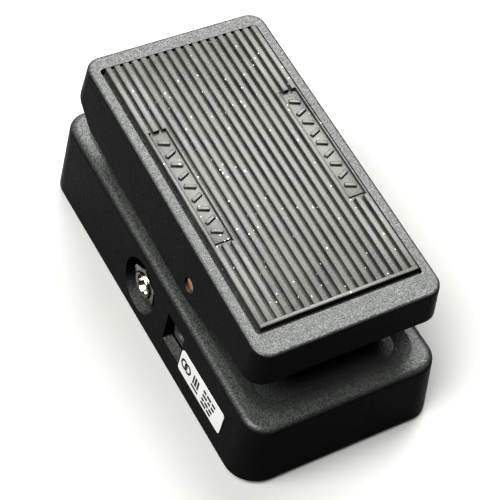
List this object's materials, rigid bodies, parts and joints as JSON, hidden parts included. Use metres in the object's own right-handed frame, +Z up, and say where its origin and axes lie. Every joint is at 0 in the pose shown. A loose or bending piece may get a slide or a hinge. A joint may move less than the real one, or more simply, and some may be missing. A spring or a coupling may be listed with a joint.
{
  "type": "volume pedal",
  "caption": "Compact foot-operated volume pedal: a ribbed rocking treadle on a cast base turns a potentiometer through a band and quadrant.",
  "frame": {"origin": "on the floor under the middle of the base", "axes": "+X to the player's right, +Y towards the toe end, +Z up; the treadle is stored 3.9 degrees toe-up of level"},
  "size_m": [0.07, 0.1354, 0.063],
  "materials": {
    "black_powder_coat": "fine-textured satin black powder coat on die-cast aluminium",
    "tread_rubber": "ribbed black rubber, satin, a little scuffed",
    "black_steel_plate": "satin black paint on steel sheet",
    "foot_rubber": "matt black rubber",
    "zinc_screw": "zinc-plated steel",
    "black_oxide_screw": "black oxide steel",
    "bronze_bush": "oil-filled sintered bronze, dull",
    "brass_shaft": "turned brass, slightly tarnished",
    "white_nylon": "natural nylon",
    "quadrant_nylon": "glass-filled black nylon",
    "band_steel": "thin spring steel",
    "nickel_plate": "bright nickel plate",
    "pot_case": "pressed plated steel case",
    "tinned_terminal": "tinned brass",
    "bracket_steel": "zinc-plated steel sheet",
    "lead_insulation": "red wire insulation",
    "jack_plastic": "moulded black plastic",
    "board_laminate": "green solder mask on glass laminate",
    "component_black": "moulded black component bodies",
    "label_white": null
  },
  "bodies": {
    "base": {"base_housing": "black_powder_coat", "bottom_plate": "black_steel_plate", "rubber_feet": "foot_rubber", "plate_screws": "zinc_screw", "pivot_bushes": "bronze_bush", "tension_shoe": "white_nylon", "toe_bumper": "foot_rubber", "heel_bumper": "foot_rubber", "potentiometer": "pot_case", "pot_terminals": "tinned_terminal", "pot_nut": "nickel_plate", "pot_washer": "nickel_plate", "pot_bracket": "bracket_steel", "bracket_screws": "zinc_screw", "pot_leads": "lead_insulation", "output_jack_body": "jack_plastic", "output_jack_bushing": "nickel_plate", "output_jack_contacts": "tinned_terminal", "output_jack_washer": "nickel_plate", "output_jack_nut": "nickel_plate", "input_jack_body": "jack_plastic", "input_jack_bushing": "nickel_plate", "input_jack_contacts": "tinned_terminal", "input_jack_washer": "nickel_plate", "input_jack_nut": "nickel_plate", "power_inlet": "jack_plastic", "power_inlet_pin": "nickel_plate", "circuit_board": "board_laminate", "board_screws": "zinc_screw", "board_components": "component_black", "rating_label": "label_white"},
    "rocker": {"treadle": "black_powder_coat", "tread_pad": "tread_rubber", "pivot_shaft": "brass_shaft", "pivot_grub_screws": "black_oxide_screw", "drive_quadrant": "quadrant_nylon", "quadrant_screws": "zinc_screw", "drive_band": "band_steel", "band_end_clamps": "band_steel"},
    "pot_rotor": {"band_drum": "white_nylon", "band_loop": "band_steel", "pot_shaft": "nickel_plate"},
    "tension_adjuster": {"tension_screw": "black_oxide_screw"}
  },
  "joints": [
    {"name": "treadle_pivot", "type": "hinge", "parent": "base", "child": "rocker", "pos_m": [0, -0.0215, 0.0444], "axis": [1, 0, 0], "range_deg": [-11, 7]},
    {"name": "pot_spin", "type": "hinge", "parent": "base", "child": "pot_rotor", "pos_m": [0.004, -0.0215, 0.01285], "axis": [1, 0, 0], "range_deg": [-46, 71]},
    {"name": "tension_turn", "type": "hinge", "parent": "base", "child": "tension_adjuster", "pos_m": [-0.008, -0.0215, 0.035], "axis": [0, 0, 1], "range_deg": [-180, 180]}
  ],
  "couplings": [
    {"joint": "pot_spin", "follows": "treadle_pivot", "ratio": -6.2558}
  ]
}
